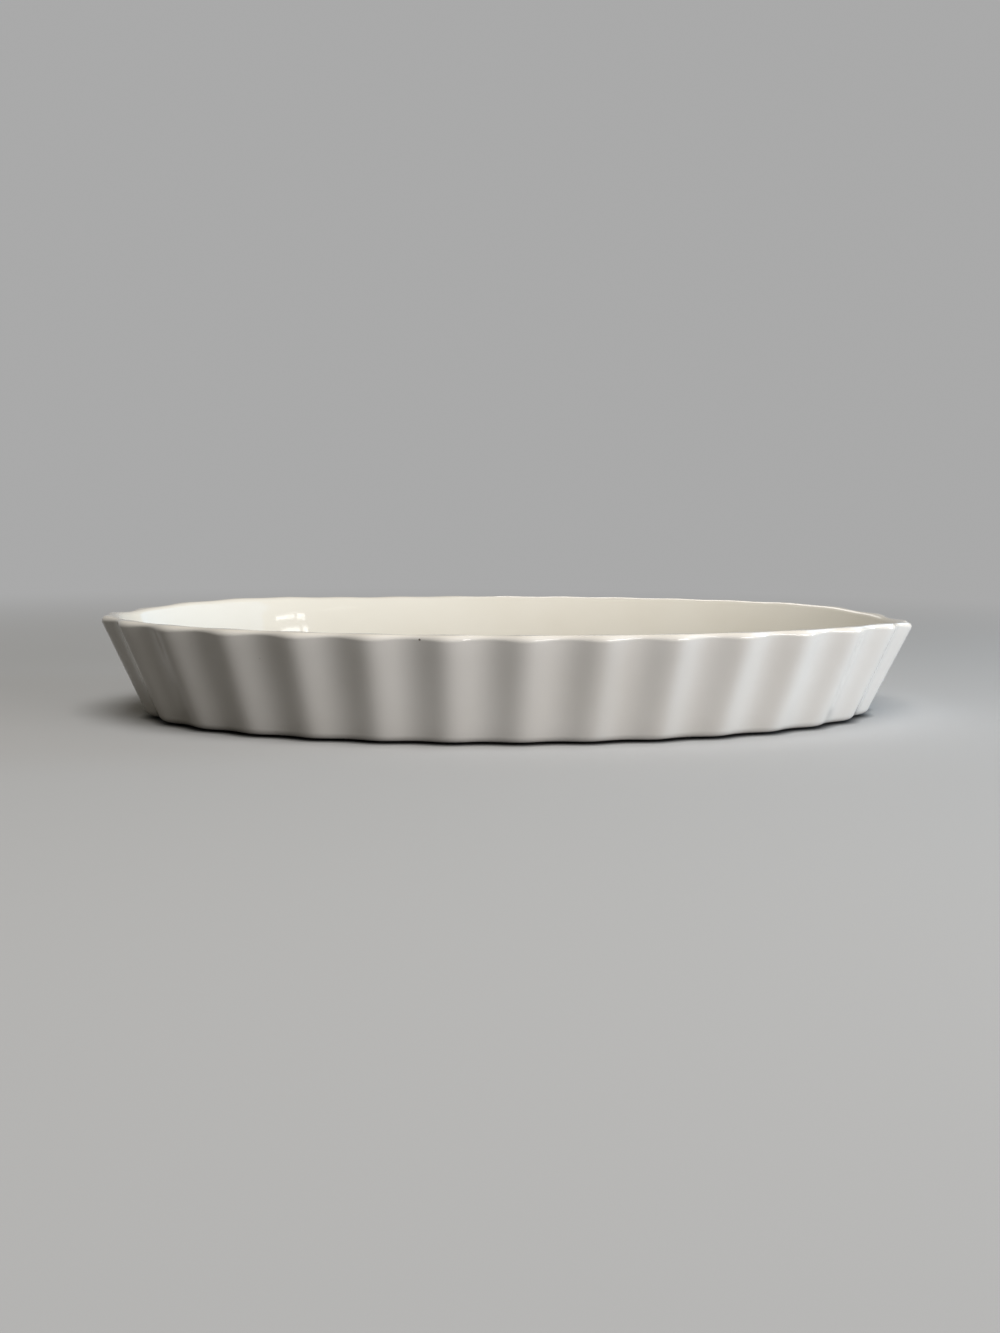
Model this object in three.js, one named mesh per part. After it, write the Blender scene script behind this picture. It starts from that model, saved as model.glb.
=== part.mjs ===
// Oval tart dish: a fluted porcelain body with its glaze coat, in millimetres, +Z up.
// The origin is on the table under the middle of the dish, +X runs along its length.
import * as THREE from 'three';
import { mergeVertices } from 'three/addons/utils/BufferGeometryUtils.js';

// Overall sizes, over the glaze and midway between ridge and groove
const rimLength = 330;
const rimWidth = 220;
const dishHeight = 40.5;

// Wall and floor of the fired body
const wallLean = 23.5; // degrees outward from upright
const wallThickness = 4.4; // at mid-flute, square to the wall
const floorThickness = 4.6;
const bottomEdgeRadius = 4;
const wellRadius = 9; // hollow curve between the floor and the inner wall

// Lip of the fired body: two rounded edges with a flat between them
const lipOuterRadius = 1.2; // at mid-flute
const lipOuterSwell = 0.36; // how much that rounding grows for each millimetre that a flute stands out
const lipInnerRadius = 2.4;

// Flutes, on the outside only
const fluteCount = 32;
const fluteDepth = 3.3; // groove to ridge, at the rim
const bottomFluteShare = 0.65; // of that depth, left at the bottom edge
const ridgeSharpness = 0.05; // 0 is a plain wave, more narrows the ridges

// Foot ring and the recess inside it
const footClearance = 1; // table to the underside outside the ring
const recessHeight = 1.6; // table to the underside inside the ring
const footWidth = 3.5; // flat that stands on the table
const footDraft = 0.6; // how far each side of the ring slopes
const footSetback = 7; // bottom edge to the ring

// Glaze
const glazeThickness = 0.3;
const recessGlazeMargin = 1; // bare band inside the ring

// Fineness of the surfaces
const columnsPerFlute = 6;
const smoothColumnsPerFlute = 3;
const bottomEdgeSteps = 3;
const lipOuterSteps = 3;
const lipInnerSteps = 2;
const wellSteps = 3;

const lean = THREE.MathUtils.degToRad(wallLean);
const quarterTurn = Math.PI / 2;
const flutedColumns = fluteCount * columnsPerFlute;
const smoothColumns = fluteCount * smoothColumnsPerFlute;

// The oval that the wall follows, measured by arc length so that the flutes are evenly spaced
const oval = new THREE.EllipseCurve(0, 0, rimLength / 2, rimWidth / 2, 0, 2 * Math.PI);
oval.arcLengthDivisions = 4000;

// How far the fluted face stands out at a share of the way round; a groove lies on each tip and mid-side
function fluteReach(share) {
  const turn = 2 * Math.PI * fluteCount * share;
  return (fluteDepth / 2) * (ridgeSharpness * Math.cos(2 * turn) - Math.cos(turn));
}

// A station is one place on the section through the wall. "out" is measured square to the oval.
// There the flutes push the surface outward by "push" times their reach and lower it by "dip" times it.
function station(out, height, push = 0, dip = 0) {
  return { out, height, push, dip };
}

function ringAt({ out, height, push, dip }) {
  const columns = push > 0 ? flutedColumns : smoothColumns;
  const ring = [];
  for (let column = 0; column < columns; column += 1) {
    const share = column / columns;
    const place = oval.getPointAt(share);
    const along = oval.getTangentAt(share);
    const reach = fluteReach(share);
    const away = out + push * reach;
    ring.push(new THREE.Vector3(place.x + along.y * away, place.y - along.x * away, height - dip * reach));
  }
  return ring;
}

// Triangles between two neighbouring rings, which may have different numbers of points
function strip(lower, upper) {
  const steps = Math.max(lower.length, upper.length);
  const pointAt = (ring, step) => ring[Math.floor((step * ring.length) / steps) % ring.length];
  const triangles = [];
  for (let step = 0; step < steps; step += 1) {
    const from = pointAt(lower, step);
    const to = pointAt(lower, step + 1);
    const fromAbove = pointAt(upper, step);
    const toAbove = pointAt(upper, step + 1);
    if (from !== to) {
      triangles.push([from, to, toAbove]);
    }
    if (fromAbove !== toAbove) {
      triangles.push([from, toAbove, fromAbove]);
    }
  }
  return triangles;
}

function loft(rings) {
  return rings.slice(1).flatMap((ring, index) => strip(rings[index], ring));
}

function turnedOver(triangles) {
  return triangles.map(([first, second, third]) => [first, third, second]);
}

function solidFrom(triangles) {
  const solid = mergeVertices(new THREE.BufferGeometry().setFromPoints(triangles.flat()));
  solid.computeVertexNormals();
  return solid;
}

// Middle of the lip's outer rounding
const lipOuterCentre = {
  out: -(lipOuterRadius + glazeThickness),
  height: dishHeight - glazeThickness - lipOuterRadius,
};

// A point at a given height, that far outward of the line down the wall from that middle
function besideWall(distance, height) {
  const across = lipOuterCentre.out + distance * Math.cos(lean);
  const down = lipOuterCentre.height - distance * Math.sin(lean) - height;
  return { out: across - down * Math.tan(lean), height };
}

const innerFace = lipOuterRadius - wallThickness;
const floorHeight = recessHeight + floorThickness;
const bottomCentre = besideWall(lipOuterRadius - bottomEdgeRadius, footClearance + bottomEdgeRadius);
const lipInnerCentre = besideWall(innerFace + lipInnerRadius, dishHeight - glazeThickness - lipInnerRadius);
const wellCentre = besideWall(innerFace - wellRadius, floorHeight + wellRadius);

const footOuterTop = bottomCentre.out - footSetback;
const footOuterBottom = footOuterTop - footDraft;
const footInnerBottom = footOuterBottom - footWidth;
const footInnerTop = footInnerBottom - footDraft;

// Stations along an arc of the section; a hollow arc has a negative radius
function arcStations(centre, radius, start, end, steps, fluteAt = () => []) {
  const stations = [];
  for (let step = 0; step <= steps; step += 1) {
    const angle = start + ((end - start) * step) / steps;
    const out = centre.out + radius * Math.cos(angle);
    stations.push(station(out, centre.height + radius * Math.sin(angle), ...fluteAt(angle)));
  }
  return stations;
}

// Over the lip's outer rounding the flutes lose part of their push. A ridge is rounded more than a groove,
// in such a way that each rounding still meets the straight wall below it.
function fluteOnLip(angle) {
  const pushOnTop = 1 - lipOuterSwell * (Math.tan(lean) + 1 / Math.cos(lean));
  return [pushOnTop + lipOuterSwell * Math.cos(angle), lipOuterSwell * (1 - Math.sin(angle))];
}

// Rings from the glaze line beside the foot, up the outside, over the lip and down to the floor's middle,
// standing "skin" proud of the fired body
function wallRings(skin) {
  const innerLean = Math.PI - lean;
  const bottomFlute = () => [bottomFluteShare];
  const stations = [
    station(footOuterTop, footClearance - skin),
    ...arcStations(bottomCentre, bottomEdgeRadius + skin, -quarterTurn, -lean, bottomEdgeSteps, bottomFlute),
    ...arcStations(lipOuterCentre, lipOuterRadius + skin, -lean, quarterTurn, lipOuterSteps, fluteOnLip),
    ...arcStations(lipInnerCentre, lipInnerRadius + skin, quarterTurn, innerLean, lipInnerSteps),
    ...arcStations(wellCentre, skin - wellRadius, innerLean, quarterTurn, wellSteps),
  ];
  return [...stations.map(ringAt), [new THREE.Vector3(0, 0, floorHeight + skin)]];
}

function porcelainBody() {
  const underside = [
    station(footInnerTop, recessHeight),
    station(footInnerBottom, 0),
    station(footOuterBottom, 0),
  ];
  const recessMiddle = [new THREE.Vector3(0, 0, recessHeight)];
  return solidFrom(loft([recessMiddle, ...underside.map(ringAt), ...wallRings(0)]));
}

function glazeCoat() {
  const onBody = wallRings(0);
  const outside = wallRings(glazeThickness);
  const edge = strip(onBody[0], outside[0]);
  return solidFrom([...turnedOver(loft(onBody)), ...edge, ...loft(outside)]);
}

function undersideGlaze() {
  const edgeOut = footInnerTop - recessGlazeMargin;
  const lowest = recessHeight - glazeThickness;
  const rings = [
    [new THREE.Vector3(0, 0, lowest)],
    ringAt(station(edgeOut, lowest)),
    ringAt(station(edgeOut, recessHeight)),
    [new THREE.Vector3(0, 0, recessHeight)],
  ];
  return solidFrom(loft(rings));
}

function named(name, geometry, material) {
  const mesh = new THREE.Mesh(geometry, material);
  mesh.name = name;
  return mesh;
}

const biscuit = new THREE.MeshStandardMaterial({ color: 0xe6dfd0, roughness: 0.85, metalness: 0 });
const glaze = new THREE.MeshStandardMaterial({ color: 0xf1ede3, roughness: 0.12, metalness: 0 });
const recessGlaze = new THREE.MeshStandardMaterial({ color: 0xefebe0, roughness: 0.16, metalness: 0 });

const ovalTartDish = new THREE.Group();
ovalTartDish.add(named('porcelain_body', porcelainBody(), biscuit));
ovalTartDish.add(named('glaze_coat', glazeCoat(), glaze));
ovalTartDish.add(named('underside_glaze', undersideGlaze(), recessGlaze));

export default ovalTartDish;
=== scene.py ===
import math
import bmesh
import bpy
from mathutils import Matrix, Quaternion, Vector


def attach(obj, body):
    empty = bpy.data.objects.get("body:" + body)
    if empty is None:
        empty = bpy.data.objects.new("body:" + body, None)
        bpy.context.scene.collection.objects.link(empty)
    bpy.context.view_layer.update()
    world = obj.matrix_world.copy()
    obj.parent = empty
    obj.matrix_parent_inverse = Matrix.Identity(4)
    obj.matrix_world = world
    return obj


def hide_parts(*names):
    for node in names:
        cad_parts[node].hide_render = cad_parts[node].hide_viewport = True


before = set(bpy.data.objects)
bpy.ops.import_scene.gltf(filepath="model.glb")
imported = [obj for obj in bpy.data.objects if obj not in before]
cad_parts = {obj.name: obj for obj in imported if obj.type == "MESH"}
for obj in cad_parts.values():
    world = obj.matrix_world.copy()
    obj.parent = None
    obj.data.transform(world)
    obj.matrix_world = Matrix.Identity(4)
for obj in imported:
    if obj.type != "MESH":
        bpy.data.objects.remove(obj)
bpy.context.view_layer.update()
print("frame loaded:", ", ".join(sorted(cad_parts)))

# The section through the wall, in metres; all but the lip's swell and wave is as in the solids
dish = {
    "rimLength": 0.330,  # midway between ridge and groove, over the glaze
    "rimWidth": 0.220,
    "height": 0.0405,
    "wallLean": math.radians(23.5),
    "wallThickness": 0.0044,  # fired body at mid-flute
    "floorThickness": 0.0046,
    "bottomEdgeRadius": 0.004,
    "wellRadius": 0.009,
    "lipOuterRadius": 0.0012,
    "lipOuterSwell": 0.15,  # growth of that rounding as a flute stands out; the solids have more
    "lipInnerRadius": 0.0024,
    "fluteCount": 32,
    "fluteDepth": 0.0033,  # at the rim
    "bottomFluteShare": 0.65,  # of that depth, at the bottom edge
    "ridgeSharpness": 0.05,
    "lipWave": 0.06,  # share of the flutes' reach by which the lip rises and falls
    "glaze": 0.0003,
}
foot = {
    "clearance": 0.001,  # table to the underside outside the ring
    "recessHeight": 0.0016,  # table to the underside inside the ring
    "width": 0.0035,
    "draft": 0.0006,
    "setback": 0.007,  # bottom edge to the ring
    "glazeMargin": 0.001,  # bare band inside the ring
    "softEdge": 0.0003,
    "softEdgeSteps": 2,
    "underGlaze": 0.00002,  # the body stands this far inside the glaze's inner face
}
fineness = {
    "columns": 16,  # along one flute
    "padColumns": 6,
    "bottomEdge": 7,
    "wall": 6,
    "lipOuter": 8,
    "lipTop": 3,
    "lipInner": 7,
    "innerWall": 5,
    "well": 9,
    "oval": 128,  # along a quarter of the oval
    "arrayWeld": 1e-6,
    "weld": 1e-5,
    "sharpAngle": math.radians(40),  # edges that turn more than this stay sharp
}
# The lip's tone is partly the glaze's own and partly a painted highlight on the rim's top; the inside's
# is partly painted shade
sides = {"outside": 0.0, "lip": 0.5, "innerEdge": 0.6, "inside": 1.0}  # for the tone of the glaze

lean = dish["wallLean"]
quarterTurn = math.pi / 2
floorHeight = foot["recessHeight"] + dish["floorThickness"]
lipTop = dish["height"] - dish["glaze"]
lipOuterCentre = (-(dish["lipOuterRadius"] + dish["glaze"]), lipTop - dish["lipOuterRadius"])


def besideWall(distance, height):  # a point at that height, so far outward of the lip's outer middle
    across = lipOuterCentre[0] + distance * math.cos(lean)
    down = lipOuterCentre[1] - distance * math.sin(lean) - height
    return across - down * math.tan(lean), height


innerFace = dish["lipOuterRadius"] - dish["wallThickness"]
bottomCentre = besideWall(dish["lipOuterRadius"] - dish["bottomEdgeRadius"],
                          foot["clearance"] + dish["bottomEdgeRadius"])
lipInnerCentre = besideWall(innerFace + dish["lipInnerRadius"], lipTop - dish["lipInnerRadius"])
wellCentre = besideWall(innerFace - dish["wellRadius"], floorHeight + dish["wellRadius"])
footOuterTop = bottomCentre[0] - foot["setback"]
footOuterBottom = footOuterTop - foot["draft"]
footInnerBottom = footOuterBottom - foot["width"]
footInnerTop = footInnerBottom - foot["draft"]


# A station is (out, height, push, dip, side). Out is square to the oval, from its line.
# The flutes push the place outward and lower it by shares of their reach.
def plain(out, height):  # a station that the flutes leave alone
    return (out, height, 0.0, 0.0, sides["outside"])


def arcStations(centre, radius, start, end, steps, fluteAt, fromSide, toSide):
    stations = []
    for step in range(steps + 1):
        part = step / steps
        angle = start + (end - start) * part
        place = (centre[0] + radius * math.cos(angle), centre[1] + radius * math.sin(angle))
        stations.append(place + fluteAt(angle) + (fromSide + (toSide - fromSide) * part,))
    return stations


def between(start, end, steps):  # the stations between two, both left out
    return [tuple(a + (b - a) * step / steps for a, b in zip(start, end)) for step in range(1, steps)]


def bottomFlute(angle):
    return (dish["bottomFluteShare"], 0.0)


def noFlute(angle):
    return (0.0, 0.0)


def waveOnLip(angle):
    return (0.0, -dish["lipWave"] * max(0, math.sin(angle)))


def fluteOnLip(angle):
    swell = dish["lipOuterSwell"]
    pushOnTop = 1 - swell * (math.tan(lean) + 1 / math.cos(lean))
    return (pushOnTop + swell * math.cos(angle), swell * (1 - math.sin(angle)) + waveOnLip(angle)[1])


# From the glaze line up the outside, over the lip and down to the floor, "skin" proud of the fired body
def wallStations(skin):
    innerLean = math.pi - lean
    glazeLine = plain(footOuterTop, foot["clearance"] - skin)
    bottom = arcStations(bottomCentre, dish["bottomEdgeRadius"] + skin, -quarterTurn, -lean,
                         fineness["bottomEdge"], bottomFlute, sides["outside"], sides["outside"])
    outer = arcStations(lipOuterCentre, dish["lipOuterRadius"] + skin, -lean, quarterTurn,
                        fineness["lipOuter"], fluteOnLip, sides["outside"], sides["lip"])
    inner = arcStations(lipInnerCentre, dish["lipInnerRadius"] + skin, quarterTurn, innerLean,
                        fineness["lipInner"], waveOnLip, sides["innerEdge"], sides["inside"])
    well = arcStations(wellCentre, skin - dish["wellRadius"], innerLean, quarterTurn,
                       fineness["well"], noFlute, sides["inside"], sides["inside"])
    wall = between(bottom[-1], outer[0], fineness["wall"])
    top = between(outer[-1], inner[0], fineness["lipTop"])
    innerWall = between(inner[-1], well[0], fineness["innerWall"])
    return [glazeLine] + bottom + wall + outer + top + inner + innerWall + well


def deselectAll():
    if bpy.context.mode != "OBJECT":
        bpy.ops.object.mode_set(mode="OBJECT")
    bpy.ops.object.select_all(action="DESELECT")


def addModifier(piece, kind, **settings):
    modifier = piece.modifiers.new(kind.title(), kind)
    for key, value in settings.items():
        setattr(modifier, key, value)
    bpy.context.view_layer.objects.active = piece
    bpy.ops.object.modifier_apply(modifier=modifier.name)


def addOvalPath():  # the line that the wall follows
    deselectAll()
    bpy.ops.curve.primitive_bezier_circle_add(radius=1, location=(0, 0, 0))
    path = bpy.context.object
    path.scale = (dish["rimLength"] / 2, dish["rimWidth"] / 2, 1)
    bpy.ops.object.transform_apply(location=False, rotation=False, scale=True)
    path.data.resolution_u = fineness["oval"]
    path.data.use_radius = False
    return path


def fluteReach(turn):  # how far the face stands out along one flute, groove at 0 and ridge at a half
    wave = 2 * math.pi * turn
    return dish["fluteDepth"] / 2 * (dish["ridgeSharpness"] * math.cos(2 * wave) - math.cos(wave))


def pushColumns(columns, push, dip):  # the row in hand takes on more of the flute, or less
    mesh = bmesh.from_edit_mesh(bpy.context.edit_object.data)
    row = sorted((vert for vert in mesh.verts if vert.select), key=lambda vert: vert.co.x)
    for column, vert in enumerate(row):
        reach = fluteReach(column / columns)
        bpy.ops.mesh.select_all(action="DESELECT")
        vert.select = True
        bpy.ops.transform.translate(value=(0, push * reach, -dip * reach))
    for vert in row:
        vert.select = True
    mesh.select_flush(True)
    bmesh.update_edit_mesh(bpy.context.edit_object.data)


def foldFlute(name, stations, columns, pitch):  # one flute of the wall, laid flat along X, with Y outward
    deselectAll()
    bpy.ops.mesh.primitive_grid_add(x_subdivisions=columns, y_subdivisions=1, size=1, location=(0, 0, 0))
    strip = bpy.context.object
    strip.name = name
    bpy.ops.geometry.attribute_add(name="side", domain="POINT", data_type="FLOAT")
    bpy.ops.object.mode_set(mode="EDIT")
    mesh = bmesh.from_edit_mesh(strip.data)
    for vert in mesh.verts:
        vert.select = vert.co.y > 0
    mesh.select_flush(False)
    bpy.ops.mesh.delete(type="VERT")
    bpy.ops.mesh.select_all(action="SELECT")
    out, height, push, dip = stations[0][:4]
    bpy.ops.transform.resize(value=(pitch, 0, 0), center_override=(0, 0, 0))
    bpy.ops.transform.translate(value=(pitch / 2, out, height))
    for nextOut, nextHeight, nextPush, nextDip, side in stations[1:]:
        step = (0, nextOut - out, nextHeight - height)
        bpy.ops.mesh.extrude_edges_move(TRANSFORM_OT_translate={"value": step})
        if (nextPush, nextDip) != (push, dip):
            pushColumns(columns, nextPush - push, nextDip - dip)
        bpy.ops.mesh.attribute_set(value_float=side)
        out, height, push, dip = nextOut, nextHeight, nextPush, nextDip
    bpy.ops.object.mode_set(mode="OBJECT")
    return strip


def onOval(name, stations, columns):  # fold one flute, repeat it round the oval and weld the seam
    path = addOvalPath()
    pitch = path.data.splines[0].calc_length() / dish["fluteCount"]
    piece = foldFlute(name, stations, columns, pitch)
    addModifier(piece, "ARRAY", count=dish["fluteCount"], use_merge_vertices=True,
                merge_threshold=fineness["arrayWeld"])
    addModifier(piece, "CURVE", object=path, deform_axis="POS_X")
    bpy.data.objects.remove(path)
    deselectAll()
    piece.select_set(True)
    bpy.context.view_layer.objects.active = piece
    bpy.ops.object.mode_set(mode="EDIT")
    bpy.ops.mesh.select_all(action="SELECT")
    bpy.ops.mesh.remove_doubles(threshold=fineness["weld"])
    return piece


def fillRing(height):  # a flat of quads across the open ring at that height
    mesh = bmesh.from_edit_mesh(bpy.context.edit_object.data)
    bpy.ops.mesh.select_all(action="DESELECT")
    for edge in mesh.edges:
        level = all(abs(vert.co.z - height) < fineness["weld"] for vert in edge.verts)
        edge.select = edge.is_boundary and level
    bmesh.update_edit_mesh(bpy.context.edit_object.data)
    bpy.ops.mesh.fill_grid()


# Kiln warp: places on the rim that stand a little higher or lower than the rest
warps = (
    {"place": Vector((0.164, -0.009, dish["height"])), "lift": -0.0026, "reach": 0.07},
    {"place": Vector((-0.158, 0.027, dish["height"])), "lift": -0.0010, "reach": 0.035},
    {"place": Vector((-0.107, 0.082, dish["height"])), "lift": 0.0010, "reach": 0.06},
)


def warpRim():
    mesh = bmesh.from_edit_mesh(bpy.context.edit_object.data)
    for warp in warps:
        bpy.ops.mesh.select_all(action="DESELECT")
        min(mesh.verts, key=lambda vert: (vert.co - warp["place"]).length).select = True
        mesh.select_flush(True)
        stretch = 1 + warp["lift"] / dish["height"]
        bpy.ops.transform.resize(value=(1, 1, stretch), center_override=(0, 0, 0),
                                 use_proportional_edit=True, proportional_edit_falloff="SMOOTH",
                                 proportional_size=warp["reach"])


def closeShape():  # faces outward, then back to object mode
    bpy.ops.mesh.select_all(action="SELECT")
    bpy.ops.mesh.normals_make_consistent(inside=False)
    bpy.ops.object.mode_set(mode="OBJECT")
    bpy.ops.object.shade_smooth_by_angle(angle=fineness["sharpAngle"])


def makeGlazeCoat():
    piece = onOval("glazeCoat", wallStations(dish["glaze"]), fineness["columns"])
    fillRing(floorHeight + dish["glaze"])
    warpRim()
    closeShape()
    addModifier(piece, "SOLIDIFY", thickness=dish["glaze"], offset=-1, use_even_offset=True)
    return piece


def makePorcelainBody():
    underside = [
        plain(footInnerTop, foot["recessHeight"]),
        plain(footInnerBottom, 0.0),
        plain(footOuterBottom, 0.0),
    ]
    stations = underside + wallStations(-foot["underGlaze"])
    piece = onOval("porcelainBody", stations, fineness["columns"])
    fillRing(floorHeight)
    fillRing(foot["recessHeight"])
    warpRim()
    closeShape()
    addModifier(piece, "BEVEL", width=foot["softEdge"], segments=foot["softEdgeSteps"],
                limit_method="ANGLE", angle_limit=fineness["sharpAngle"])
    return piece


def makeUndersideGlaze():
    edge = footInnerTop - foot["glazeMargin"]
    top = foot["recessHeight"]
    low = top - dish["glaze"]
    piece = onOval("undersideGlaze", [plain(edge, top), plain(edge, low)], fineness["padColumns"])
    fillRing(top)
    fillRing(low)
    closeShape()
    return piece


glazeCoat = makeGlazeCoat()
porcelainBody = makePorcelainBody()
undersideGlaze = makeUndersideGlaze()
for piece in (glazeCoat, porcelainBody, undersideGlaze):
    triangles = sum(len(face.vertices) - 2 for face in piece.data.polygons)
    print(piece.name, "has", triangles, "triangles")


# Materials
def newMaterial(name):
    material = bpy.data.materials.new(name)
    material.use_nodes = True
    return material, material.node_tree.nodes, material.node_tree.links


def addNode(nodes, kind, settings=None, values=None):
    node = nodes.new(kind)
    for key, value in (settings or {}).items():
        setattr(node, key, value)
    for key, value in (values or {}).items():
        node.inputs[key].default_value = value
    return node


def addNoise(nodes, links, place, scale, detail):
    noise = addNode(nodes, "ShaderNodeTexNoise", values={"Scale": scale, "Detail": detail})
    links.new(place, noise.inputs["Vector"])
    return noise.outputs["Fac"]


def spread(nodes, links, value, start, end, low, high):  # start to end of a value, laid over low to high
    values = {"From Min": start, "From Max": end, "To Min": low, "To Max": high}
    node = addNode(nodes, "ShaderNodeMapRange", values=values)
    links.new(value, node.inputs["Value"])
    return node.outputs["Result"]


def blend(nodes, links, share, below, above, kind="MIX"):  # colours or outputs, the second over the first
    mix = addNode(nodes, "ShaderNodeMix", {"data_type": "RGBA", "blend_type": kind})
    for colour, name in ((below, "A"), (above, "B")):
        if isinstance(colour, tuple):
            mix.inputs[name].default_value = colour
        else:
            links.new(colour, mix.inputs[name])
    links.new(share, mix.inputs["Factor"])
    return mix.outputs["Result"]


def addBumps(nodes, links, shader, bumps):  # heights laid over one another, each with its depth
    normal = None
    for height, depth in bumps:
        bump = addNode(nodes, "ShaderNodeBump", values={"Distance": depth})
        links.new(height, bump.inputs["Height"])
        if normal:
            links.new(normal, bump.inputs["Normal"])
        normal = bump.outputs["Normal"]
    links.new(normal, shader.inputs["Normal"])


speckFade = 1.6  # a speck is gone at this many times its size


def addSpecks(nodes, links, place, scale, size):  # 1 in small dots, few and far between
    cells = addNode(nodes, "ShaderNodeTexVoronoi", values={"Scale": scale})
    links.new(place, cells.inputs["Vector"])
    return spread(nodes, links, cells.outputs["Distance"], size * scale, size * scale * speckFade, 1, 0)


glazeRefraction = 1.5
glazeLook = {
    "outside": (0.80, 0.78, 0.75, 1),
    # lip: partly the glaze's own warmer tone, partly a painted highlight on the rim's top
    "lip": (0.85, 0.79, 0.69, 1),
    # inside: partly cream glaze pooled in the well, partly painted shade, darker and warmer than the
    # outside
    "inside": (0.785, 0.752, 0.672, 1),
    "clouds": (0.97, 0.965, 0.955, 1),  # the deepest tint of its faint clouds
    "cloudScale": 30,  # patches of a few centimetres
    "cloudDetail": 3,
    "cloudLimits": (0.4, 0.7),
    "roughness": (0.015, 0.04),
    "roughLimits": (0.3, 0.7),
    "floorWear": 0.17,  # added roughness on the floor, which cutlery has dulled
    "wornHeights": (0.0072, 0.016),  # from full wear to none
    "waveScale": 25,  # slow unevenness of the glaze
    "waveDepth": 0.00003,
    "peelScale": 900,  # orange peel
    "peelDepth": 0.0000006,
    "bumpDetail": 1,
    "speck": (0.16, 0.13, 0.10, 1),  # iron in the clay
    "speckScale": 48,
    "speckSize": 0.0002,
    "rimSpeck": (-0.0500, -0.1039, 0.0389),  # the one that shows in front
    "rimSpeckSize": 0.0005,
}


def makeGlazeMaterial():
    material, nodes, links = newMaterial("ivoryGlaze")
    shader = nodes["Principled BSDF"]
    shader.inputs["IOR"].default_value = glazeRefraction
    place = addNode(nodes, "ShaderNodeTexCoord").outputs["Object"]
    side = addNode(nodes, "ShaderNodeAttribute", {"attribute_name": "side"})
    tone = addNode(nodes, "ShaderNodeValToRGB")
    tone.color_ramp.elements[0].color = glazeLook["outside"]
    # The inside's tone is partly pooled glaze and partly painted shade in the well
    tone.color_ramp.elements[1].color = glazeLook["inside"]
    # The lip's tone paints a highlight over the rim's top, on top of the glaze's own warmth
    tone.color_ramp.elements.new(sides["lip"]).color = glazeLook["lip"]
    links.new(side.outputs["Fac"], tone.inputs["Fac"])
    clouds = addNoise(nodes, links, place, glazeLook["cloudScale"], glazeLook["cloudDetail"])
    depth = spread(nodes, links, clouds, *glazeLook["cloudLimits"], 0, 1)
    colour = blend(nodes, links, depth, tone.outputs["Color"], glazeLook["clouds"], "MULTIPLY")
    specks = addSpecks(nodes, links, place, glazeLook["speckScale"], glazeLook["speckSize"])
    colour = blend(nodes, links, specks, colour, glazeLook["speck"])
    away = addNode(nodes, "ShaderNodeVectorMath", {"operation": "DISTANCE"})
    away.inputs[1].default_value = glazeLook["rimSpeck"]
    links.new(place, away.inputs[0])
    size = glazeLook["rimSpeckSize"]
    rimSpeck = spread(nodes, links, away.outputs["Value"], size / 2, size, 1, 0)
    colour = blend(nodes, links, rimSpeck, colour, glazeLook["speck"])
    links.new(colour, shader.inputs["Base Color"])
    axes = addNode(nodes, "ShaderNodeSeparateXYZ")
    links.new(place, axes.inputs["Vector"])
    wear = spread(nodes, links, axes.outputs["Z"], *glazeLook["wornHeights"], glazeLook["floorWear"], 0)
    polish = spread(nodes, links, clouds, *glazeLook["roughLimits"], *glazeLook["roughness"])
    rough = addNode(nodes, "ShaderNodeMath", {"operation": "MULTIPLY_ADD"})
    links.new(wear, rough.inputs[0])
    links.new(side.outputs["Fac"], rough.inputs[1])
    links.new(polish, rough.inputs[2])
    links.new(rough.outputs["Value"], shader.inputs["Roughness"])
    wave = addNoise(nodes, links, place, glazeLook["waveScale"], glazeLook["bumpDetail"])
    peel = addNoise(nodes, links, place, glazeLook["peelScale"], glazeLook["bumpDetail"])
    addBumps(nodes, links, shader, ((wave, glazeLook["waveDepth"]), (peel, glazeLook["peelDepth"])))
    return material


recessLook = {
    "thick": (0.80, 0.775, 0.72, 1),
    "thin": (0.74, 0.70, 0.62, 1),  # where the clay shows through
    "cloudScale": 45,
    "cloudDetail": 4,
    "cloudLimits": (0.35, 0.65),
    "roughness": (0.10, 0.24),
    "roughLimits": (0.3, 0.7),
    "waveScale": 60,
    "waveDetail": 2,
    "waveDepth": 0.00006,
    "pinhole": (0.45, 0.40, 0.33, 1),
    "pinholeScale": 110,
    "pinholeSize": 0.00025,
    "pinholeDepth": -0.0001,
}


def makeRecessMaterial():
    material, nodes, links = newMaterial("recessGlaze")
    shader = nodes["Principled BSDF"]
    shader.inputs["IOR"].default_value = glazeRefraction
    place = addNode(nodes, "ShaderNodeTexCoord").outputs["Object"]
    clouds = addNoise(nodes, links, place, recessLook["cloudScale"], recessLook["cloudDetail"])
    cover = spread(nodes, links, clouds, *recessLook["cloudLimits"], 0, 1)
    colour = blend(nodes, links, cover, recessLook["thick"], recessLook["thin"])
    pinholes = addSpecks(nodes, links, place, recessLook["pinholeScale"], recessLook["pinholeSize"])
    colour = blend(nodes, links, pinholes, colour, recessLook["pinhole"])
    links.new(colour, shader.inputs["Base Color"])
    rough = spread(nodes, links, clouds, *recessLook["roughLimits"], *recessLook["roughness"])
    links.new(rough, shader.inputs["Roughness"])
    wave = addNoise(nodes, links, place, recessLook["waveScale"], recessLook["waveDetail"])
    bumps = ((wave, recessLook["waveDepth"]), (pinholes, recessLook["pinholeDepth"]))
    addBumps(nodes, links, shader, bumps)
    return material


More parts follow.
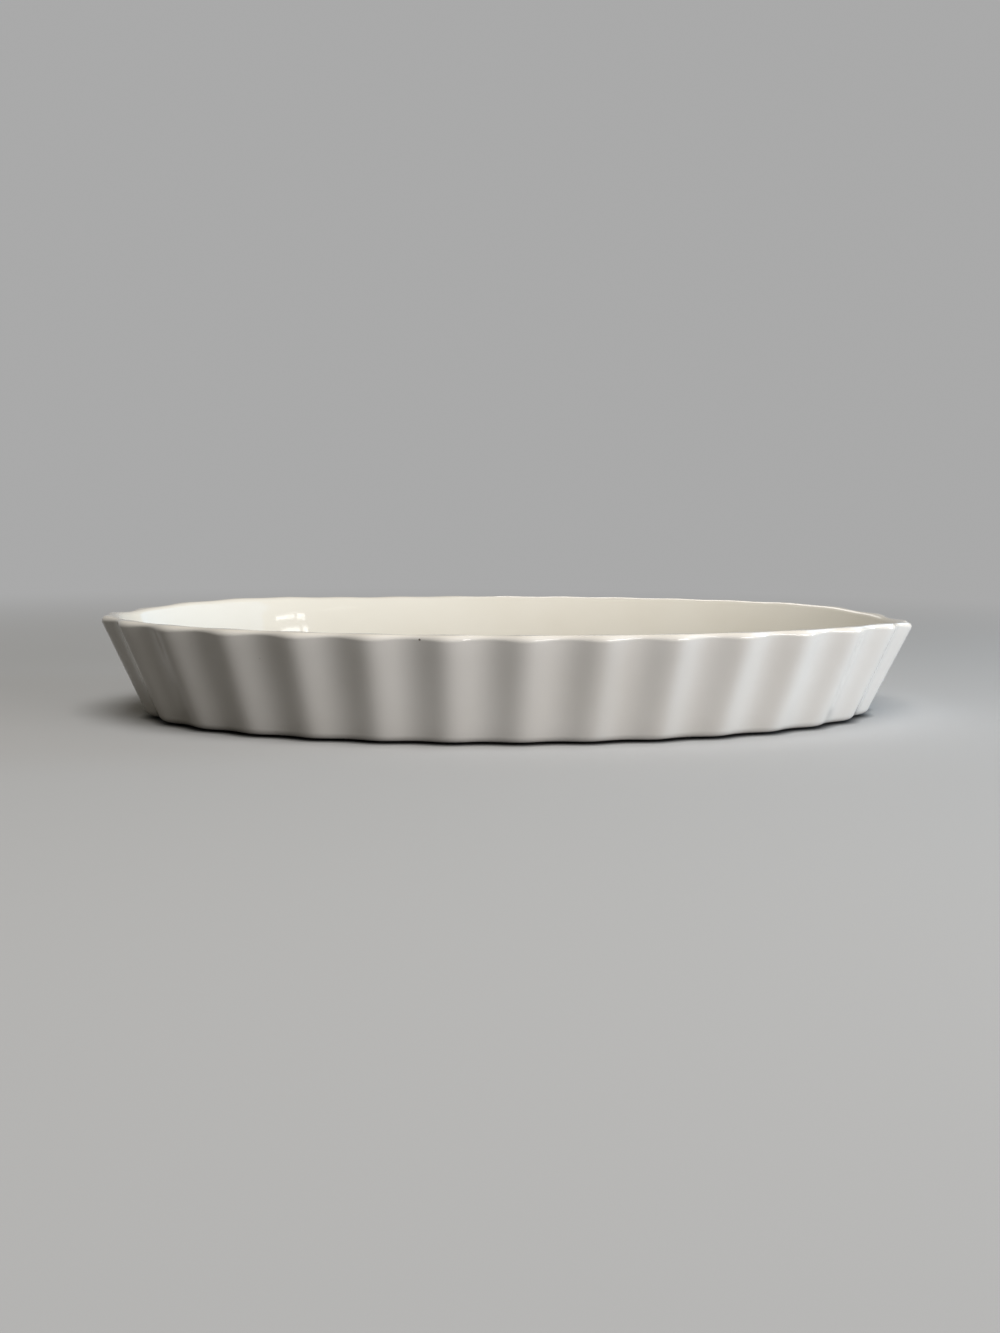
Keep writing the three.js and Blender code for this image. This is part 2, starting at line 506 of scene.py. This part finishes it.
biscuitLook = {
    "clay": (0.80, 0.75, 0.66, 1),
    "shade": (0.73, 0.67, 0.57, 1),
    "cloudScale": 70,
    "cloudDetail": 4,
    "cloudLimits": (0.35, 0.7),
    "grime": (0.42, 0.37, 0.31, 1),  # worn into the face that stands on the shelf
    "grimeHeight": 0.0007,
    "grimeScale": 160,
    "grimeDetail": 5,
    "grimeLimits": (0.42, 0.75),
    "grimeCover": 0.8,
    "roughness": (0.72, 0.92),
    "roughLimits": (0.3, 0.7),
    "gritScale": 2200,
    "gritDetail": 2,
    "gritDepth": 0.00004,
}


def makeBiscuitMaterial():
    material, nodes, links = newMaterial("bareBiscuit")
    shader = nodes["Principled BSDF"]
    place = addNode(nodes, "ShaderNodeTexCoord").outputs["Object"]
    clouds = addNoise(nodes, links, place, biscuitLook["cloudScale"], biscuitLook["cloudDetail"])
    shade = spread(nodes, links, clouds, *biscuitLook["cloudLimits"], 0, 1)
    colour = blend(nodes, links, shade, biscuitLook["clay"], biscuitLook["shade"])
    axes = addNode(nodes, "ShaderNodeSeparateXYZ")
    links.new(place, axes.inputs["Vector"])
    low = spread(nodes, links, axes.outputs["Z"], 0, biscuitLook["grimeHeight"], 1, 0)
    patches = addNoise(nodes, links, place, biscuitLook["grimeScale"], biscuitLook["grimeDetail"])
    cover = spread(nodes, links, patches, *biscuitLook["grimeLimits"], 0, biscuitLook["grimeCover"])
    worn = addNode(nodes, "ShaderNodeMath", {"operation": "MULTIPLY"})
    links.new(low, worn.inputs[0])
    links.new(cover, worn.inputs[1])
    colour = blend(nodes, links, worn.outputs["Value"], colour, biscuitLook["grime"])
    links.new(colour, shader.inputs["Base Color"])
    rough = spread(nodes, links, patches, *biscuitLook["roughLimits"], *biscuitLook["roughness"])
    links.new(rough, shader.inputs["Roughness"])
    grit = addNoise(nodes, links, place, biscuitLook["gritScale"], biscuitLook["gritDetail"])
    addBumps(nodes, links, shader, ((grit, biscuitLook["gritDepth"]),))
    return material


for piece, material in (
    (glazeCoat, makeGlazeMaterial()),
    (porcelainBody, makeBiscuitMaterial()),
    (undersideGlaze, makeRecessMaterial()),
):
    piece.data.materials.clear()
    piece.data.materials.append(material)
print("materials made")

for piece, node, slot in (
    (glazeCoat, "glaze_coat", "white_glaze"),
    (porcelainBody, "porcelain_body", "biscuit_porcelain"),
    (undersideGlaze, "underside_glaze", "recess_glaze"),
):
    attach(piece, "root")
    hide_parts(node)

# Floor, light and camera
studio = {
    "floorSize": 40,
    "floorRoughness": 0.9,
    "floorSpecular": 0.2,
    "floorShown": (0.55, 0.55, 0.55, 1),  # as the camera sees it
    # Painted light: the floor's colour for the light it throws onto the dish, dark on the left and
    # lighter on the right like a pool of window light
    "paintedShadeBounceLeft": (0.05, 0.045, 0.038, 1),  # as it lights the dish, more from the right
    "paintedLightBounceRight": (0.22, 0.22, 0.22, 1),
    "bounceReach": 0.3,
    "backdrop": (0.40, 0.40, 0.40, 1),
    # Painted shadow: the floor as the camera sees it darkens under anything close over it
    "contactShadowReach": 0.004,  # how far over the floor something darkens it
    "contactShadowSamples": 8,
    "fadeFrom": 0.22,  # where the floor begins to turn into the backdrop, from the dish's middle
    "fadeTo": 0.9,
    "ambient": (0.145, 0.132, 0.105, 1),
}


def around(azimuth, elevation, distance):  # in degrees, from the front towards +X, and up
    azimuth, elevation = math.radians(azimuth), math.radians(elevation)
    flat = Vector((math.sin(azimuth), -math.cos(azimuth), 0)) * math.cos(elevation)
    return (flat + Vector((0, 0, math.sin(elevation)))) * distance


middle = Vector((0, 0, 0))
lamps = {
    "windowLamp": {
        "place": around(43, 8, 1.2), "aim": middle, "size": (0.9, 0.28), "tilt": 0,
        "power": 8.4, "colour": (1.0, 0.98, 0.97), "gives": ("light", "gloss"),
    },
    "sideLamp": {
        "place": around(88, 8, 1.2), "aim": middle, "size": (0.3, 0.28), "tilt": 0,
        "power": 5.3, "colour": (0.65, 0.83, 1.0), "gives": ("light", "gloss"),
    },
    "ceilingLamp": {
        "place": around(0, 63, 1.6), "aim": middle, "size": (1.0, 1.0), "tilt": 0,
        "power": 15.4, "colour": (1.0, 0.995, 0.99), "gives": ("light",),
    },
}
# The other lamps are only mirrored. One behind and above draws a thin line on the lip at the right end.
lamps["rimLamp"] = {
    "place": Vector((0.17, 0.31, 0.33)), "aim": Vector((0.14, 0.05, 0.04)), "size": (0.25, 0.25),
    "tilt": 0, "power": 0.065, "colour": (1.0, 0.98, 0.95), "gives": ("gloss",),
    "spread": math.radians(50),  # keeps it off the left end
}
# A pale sky in the left end of the well, brighter in its middle
sky = {
    "place": Vector((0.82, 0.30, 0.58)),
    "aim": Vector((-0.135, 0.05, 0.037)),
    "height": 0.5,
    "tilt": math.radians(-5),
    "glow": 2.2,  # power for each metre of its width
    "colour": (0.30, 0.60, 1.0),
}
for name, width in (("wideSky", 1.3), ("nearSky", 0.8)):
    lamps[name] = {
        "place": sky["place"], "aim": sky["aim"], "size": (width, sky["height"]), "tilt": sky["tilt"],
        "power": sky["glow"] * width, "colour": sky["colour"], "gives": ("gloss",),
    }
# A far window's panes, as two streaks beside it
panes = {
    "aim": Vector((-0.091, 0.082, 0.03)),
    "glare": 24,  # power for each square metre
    "colour": (1.0, 1.0, 1.0),
}
for name, place, size, tilt in (
    ("upperPane", (0.7508, -0.4083, 0.7348), (0.083, 0.0045), -13),
    ("upperPaneEnd", (0.7093, -0.4572, 0.7467), (0.030, 0.0075), -13),
    ("lowerPane", (0.7477, -0.4282, 0.7245), (0.086, 0.0055), -13),
    ("lowerPaneEnd", (0.7067, -0.4757, 0.7368), (0.022, 0.0085), -13),
    ("frameEdge", (0.6368, -0.5050, 0.7935), (0.27, 0.002), -23),
):
    lamps[name] = {
        "place": Vector(place), "aim": panes["aim"], "size": size, "tilt": math.radians(tilt),
        "power": panes["glare"] * size[0] * size[1], "colour": panes["colour"], "gives": ("gloss",),
    }


def addSeen(nodes, links):  # 1 for what the camera sees, straight, mirrored or through something clear
    path = addNode(nodes, "ShaderNodeLightPath")
    seen = addNode(nodes, "ShaderNodeMath", {"operation": "MAXIMUM"})
    links.new(path.outputs["Is Camera Ray"], seen.inputs[0])
    links.new(path.outputs["Is Glossy Ray"], seen.inputs[1])
    through = addNode(nodes, "ShaderNodeMath", {"operation": "MAXIMUM"})
    links.new(seen.outputs["Value"], through.inputs[0])
    links.new(path.outputs["Is Transmission Ray"], through.inputs[1])
    return through.outputs["Value"]


def makeFloor():
    deselectAll()
    bpy.ops.mesh.primitive_plane_add(size=studio["floorSize"], location=(0, 0, 0))
    floor = bpy.context.object
    floor.name = "studioFloor"
    material, nodes, links = newMaterial("paleFloor")
    shader = nodes["Principled BSDF"]
    shader.inputs["Roughness"].default_value = studio["floorRoughness"]
    shader.inputs["Specular IOR Level"].default_value = studio["floorSpecular"]
    seen = addSeen(nodes, links)
    place = addNode(nodes, "ShaderNodeTexCoord").outputs["Object"]
    axes = addNode(nodes, "ShaderNodeSeparateXYZ")
    links.new(place, axes.inputs["Vector"])
    # Painted light: the bounce colour runs from painted shade at the left to a painted pool of light at
    # the right
    reach = studio["bounceReach"]
    rightward = spread(nodes, links, axes.outputs["X"], -reach, reach, 0, 1)
    paintedBounce = blend(nodes, links, rightward, studio["paintedShadeBounceLeft"], studio["paintedLightBounceRight"])
    # A painted contact shadow: occlusion darkens the floor's seen colour under the dish's edge
    contactShadow = addNode(nodes, "ShaderNodeAmbientOcclusion", {"samples": studio["contactShadowSamples"]},
                      {"Color": studio["floorShown"], "Distance": studio["contactShadowReach"]})
    colour = blend(nodes, links, seen, paintedBounce, contactShadow.outputs["Color"])
    links.new(colour, shader.inputs["Base Color"])
    away = addNode(nodes, "ShaderNodeVectorMath", {"operation": "LENGTH"})
    links.new(place, away.inputs[0])
    fade = addNode(nodes, "ShaderNodeMapRange", {"interpolation_type": "SMOOTHSTEP"},
                   {"From Min": studio["fadeFrom"], "From Max": studio["fadeTo"]})
    links.new(away.outputs["Value"], fade.inputs["Value"])
    share = addNode(nodes, "ShaderNodeMath", {"operation": "MULTIPLY"})
    links.new(fade.outputs["Result"], share.inputs[0])
    links.new(seen, share.inputs[1])
    far = addNode(nodes, "ShaderNodeEmission", values={"Color": studio["backdrop"]})
    mix = addNode(nodes, "ShaderNodeMixShader")
    links.new(share.outputs["Value"], mix.inputs["Fac"])
    links.new(shader.outputs["BSDF"], mix.inputs[1])
    links.new(far.outputs["Emission"], mix.inputs[2])
    links.new(mix.outputs["Shader"], nodes["Material Output"].inputs["Surface"])
    floor.data.materials.append(material)


def makeWorld():
    world = bpy.data.worlds.new("studioWorld")
    bpy.context.scene.world = world
    world.use_nodes = True
    nodes, links = world.node_tree.nodes, world.node_tree.links
    ambient = nodes["Background"]
    ambient.inputs["Color"].default_value = studio["ambient"]
    shown = addNode(nodes, "ShaderNodeBackground", values={"Color": studio["backdrop"]})
    mix = addNode(nodes, "ShaderNodeMixShader")
    links.new(addSeen(nodes, links), mix.inputs["Fac"])
    links.new(ambient.outputs["Background"], mix.inputs[1])
    links.new(shown.outputs["Background"], mix.inputs[2])
    links.new(mix.outputs["Shader"], nodes["World Output"].inputs["Surface"])


def addLamp(name, lamp):
    data = bpy.data.lights.new(name, "AREA")
    data.shape = "RECTANGLE"
    data.size, data.size_y = lamp["size"]
    data.energy = lamp["power"]
    data.color = lamp["colour"]
    data.spread = lamp.get("spread", math.pi)
    holder = bpy.data.objects.new(name, data)
    bpy.context.scene.collection.objects.link(holder)
    holder.location = lamp["place"]
    facing = (lamp["aim"] - lamp["place"]).to_track_quat("-Z", "Y")
    holder.rotation_euler = (facing @ Quaternion((0, 0, 1), lamp["tilt"])).to_euler()
    holder.visible_camera = False
    holder.visible_glossy = "gloss" in lamp["gives"]
    holder.visible_diffuse = "light" in lamp["gives"]


makeFloor()
makeWorld()
for name, lamp in lamps.items():
    addLamp(name, lamp)

view = {
    "place": Vector((-0.10104, -0.62523, 0.08673)),
    "yaw": 0.15043,  # towards +X from +Y
    "pitch": 0.10814,  # downward
    "roll": 0.00905,
    "focalPixels": 1532.5,
    "frameHeight": 1333,
    "sensor": 36.0,
}


def makeCamera():
    data = bpy.data.cameras.new("photoCamera")
    data.sensor_width = view["sensor"]
    data.lens = view["focalPixels"] / view["frameHeight"] * view["sensor"]
    camera = bpy.data.objects.new("photoCamera", data)
    bpy.context.scene.collection.objects.link(camera)
    camera.location = view["place"]
    forward = Vector((
        math.cos(view["pitch"]) * math.sin(view["yaw"]),
        math.cos(view["pitch"]) * math.cos(view["yaw"]),
        -math.sin(view["pitch"]),
    ))
    camera.rotation_mode = "QUATERNION"
    camera.rotation_quaternion = forward.to_track_quat("-Z", "Y") @ Quaternion((0, 0, 1), view["roll"])
    bpy.context.scene.camera = camera


makeCamera()
bpy.context.scene.view_settings.view_transform = "Standard"
print("studio set")
